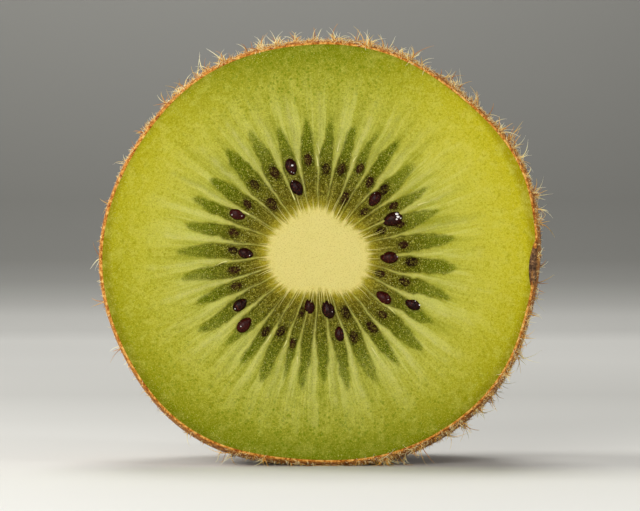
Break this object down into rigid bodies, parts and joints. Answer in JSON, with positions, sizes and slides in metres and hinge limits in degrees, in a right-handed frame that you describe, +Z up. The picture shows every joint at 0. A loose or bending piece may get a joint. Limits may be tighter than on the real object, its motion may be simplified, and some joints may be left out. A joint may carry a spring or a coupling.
{
  "type": "kiwi fruit half",
  "caption": "Half of a green kiwi fruit cut across, with hairy brown skin, pale core, dark seeds and a small flat under it to stand on.",
  "frame": {"origin": "on the ground under the middle of the fruit", "axes": "+Z up, -Y out of the cut face, +Y towards the stem end, +X to the right as seen from the front"},
  "size_m": [0.0534, 0.0326, 0.0512],
  "materials": {
    "flesh": "moist translucent green flesh, darker in the pockets round the core",
    "core": "matt pale core",
    "skin": "rough brown skin",
    "seed": "glossy wet seeds",
    "hair": "fine stiff golden brown hairs",
    "juice": "tiny wet beads"
  },
  "bodies": {
    "root": {"kiwi_half": "flesh"}
  },
  "joints": []
}
